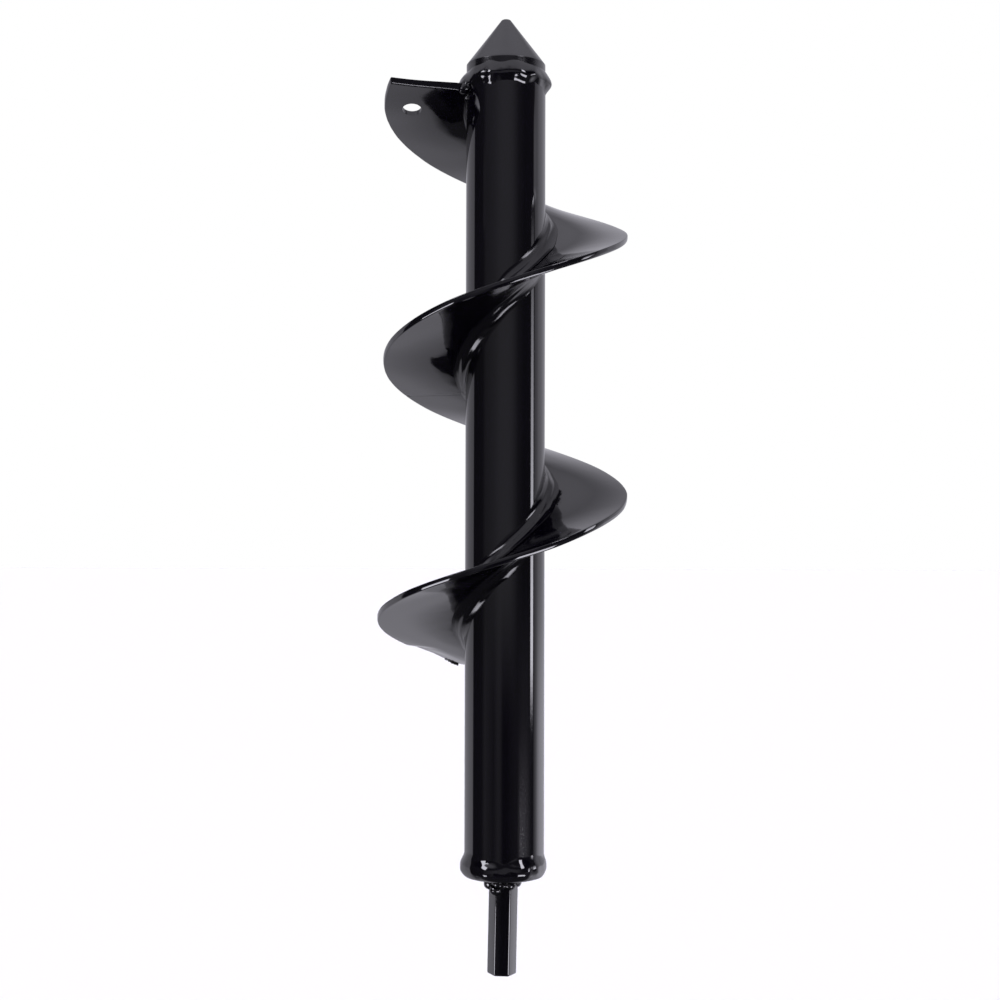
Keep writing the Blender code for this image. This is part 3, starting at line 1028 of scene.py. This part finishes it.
def horizon_light(tree, angle, elevation):
    """The brightness of the horizon ring in each direction."""
    share = maths(tree, "MULTIPLY_ADD", angle, 1 / math.tau, 0.5)
    ramp = node(tree, "ShaderNodeValToRGB", {"Fac": share})
    stops = ramp.color_ramp.elements
    while len(stops) < len(HORIZON):
        stops.new(0.5)
    for stop, (degrees, above, below) in zip(stops, HORIZON):
        stop.position = degrees / 360 + 0.5
        stop.color = (above / HORIZON_PEAK, below / HORIZON_PEAK, 0, 1)
    levels = node(tree, "ShaderNodeSeparateColor", {0: ramp.outputs["Color"]}).outputs
    sunk = ranged(tree, elevation, *BELOW_HORIZON, curve="SMOOTHSTEP")
    return maths(tree, "MULTIPLY", blended(tree, sunk, levels[0], levels[1], kind="FLOAT"), HORIZON_PEAK)


def between(tree, value, span, fade):
    """1 inside a span of degrees and 0 outside it, with a fade at each end."""
    low, high = (math.radians(degrees) for degrees in span)
    above, below = maths(tree, "SUBTRACT", value, low), maths(tree, "SUBTRACT", high, value)
    rising = maths(tree, "MULTIPLY", above, 1 / math.radians(fade[0]), clamp=True)
    falling = maths(tree, "MULTIPLY", below, 1 / math.radians(fade[1]), clamp=True)
    return maths(tree, "MULTIPLY", rising, falling)


def make_world():
    """The studio round the tool, as light by direction: white cove, dark camera side, soft lamps."""
    world = bpy.data.worlds.new("studio")
    world.use_nodes = True
    tree = world.node_tree
    direction = node(tree, "ShaderNodeTexCoord").outputs["Generated"]
    x, y, z = node(tree, "ShaderNodeSeparateXYZ", {0: direction}).outputs
    angle = facing_angle_of(tree, x, y)
    elevation = maths(tree, "ARCSINE", z)

    front_dim = ranged(tree, elevation, *FRONT_DIMS, 0.0, FRONT_DIM, curve="SMOOTHSTEP")
    in_front = maths(tree, "MULTIPLY", maths(tree, "LESS_THAN", y, 0.0), front_dim)
    ring = horizon_light(tree, angle, elevation)
    ring = maths(tree, "MULTIPLY", ring, maths(tree, "SUBTRACT", 1.0, in_front))

    top = ranged(tree, maths(tree, "MULTIPLY_ADD", y, -TOP_TO_FRONT, z), *TOP_STARTS, *TOP_LEVELS)
    floor = ranged(tree, y, *FLOOR_STARTS, *FLOOR_LEVELS)
    above = maths(tree, "MULTIPLY", maths(tree, "GREATER_THAN", z, 0.0), top)
    below = maths(tree, "MULTIPLY", maths(tree, "LESS_THAN", z, 0.0), floor)
    ends = ranged(tree, maths(tree, "ABSOLUTE", elevation), *COVE_ENDS, curve="SMOOTHSTEP")
    near_horizon = maths(tree, "MULTIPLY", ring, maths(tree, "SUBTRACT", 1.0, ends))
    beyond = maths(tree, "MULTIPLY", ends, maths(tree, "ADD", above, below))
    total = maths(tree, "ADD", near_horizon, beyond)

    for sides, heights, fade, strength in LAMPS:
        across = between(tree, angle, sides, LAMP_SIDE_FADE)
        lamp = maths(tree, "MULTIPLY", across, between(tree, elevation, heights, fade))
        total = maths(tree, "ADD", total, maths(tree, "MULTIPLY", lamp, strength))

    # The camera itself sees plain white
    sight = node(tree, "ShaderNodeLightPath").outputs["Is Camera Ray"]
    unseen = maths(tree, "MULTIPLY", total, maths(tree, "SUBTRACT", 1.0, sight))
    background = tree.nodes["Background"]
    tree.links.new(maths(tree, "ADD", unseen, sight), background.inputs["Strength"])
    tree.links.new(blended(tree, sight, STUDIO_TINT, WHITE), background.inputs["Color"])
    bpy.context.scene.world = world
    bpy.context.scene.view_settings.view_transform = "Standard"


make_camera()
make_world()
make_floor()
make_tube()
make_cone()
make_flights()
make_joint_bead()
make_root_beads()
make_tip_weld()
make_edge_lumps()
make_tail_burr()
make_end_weld()
make_shank()
make_shank_weld()
make_plug()
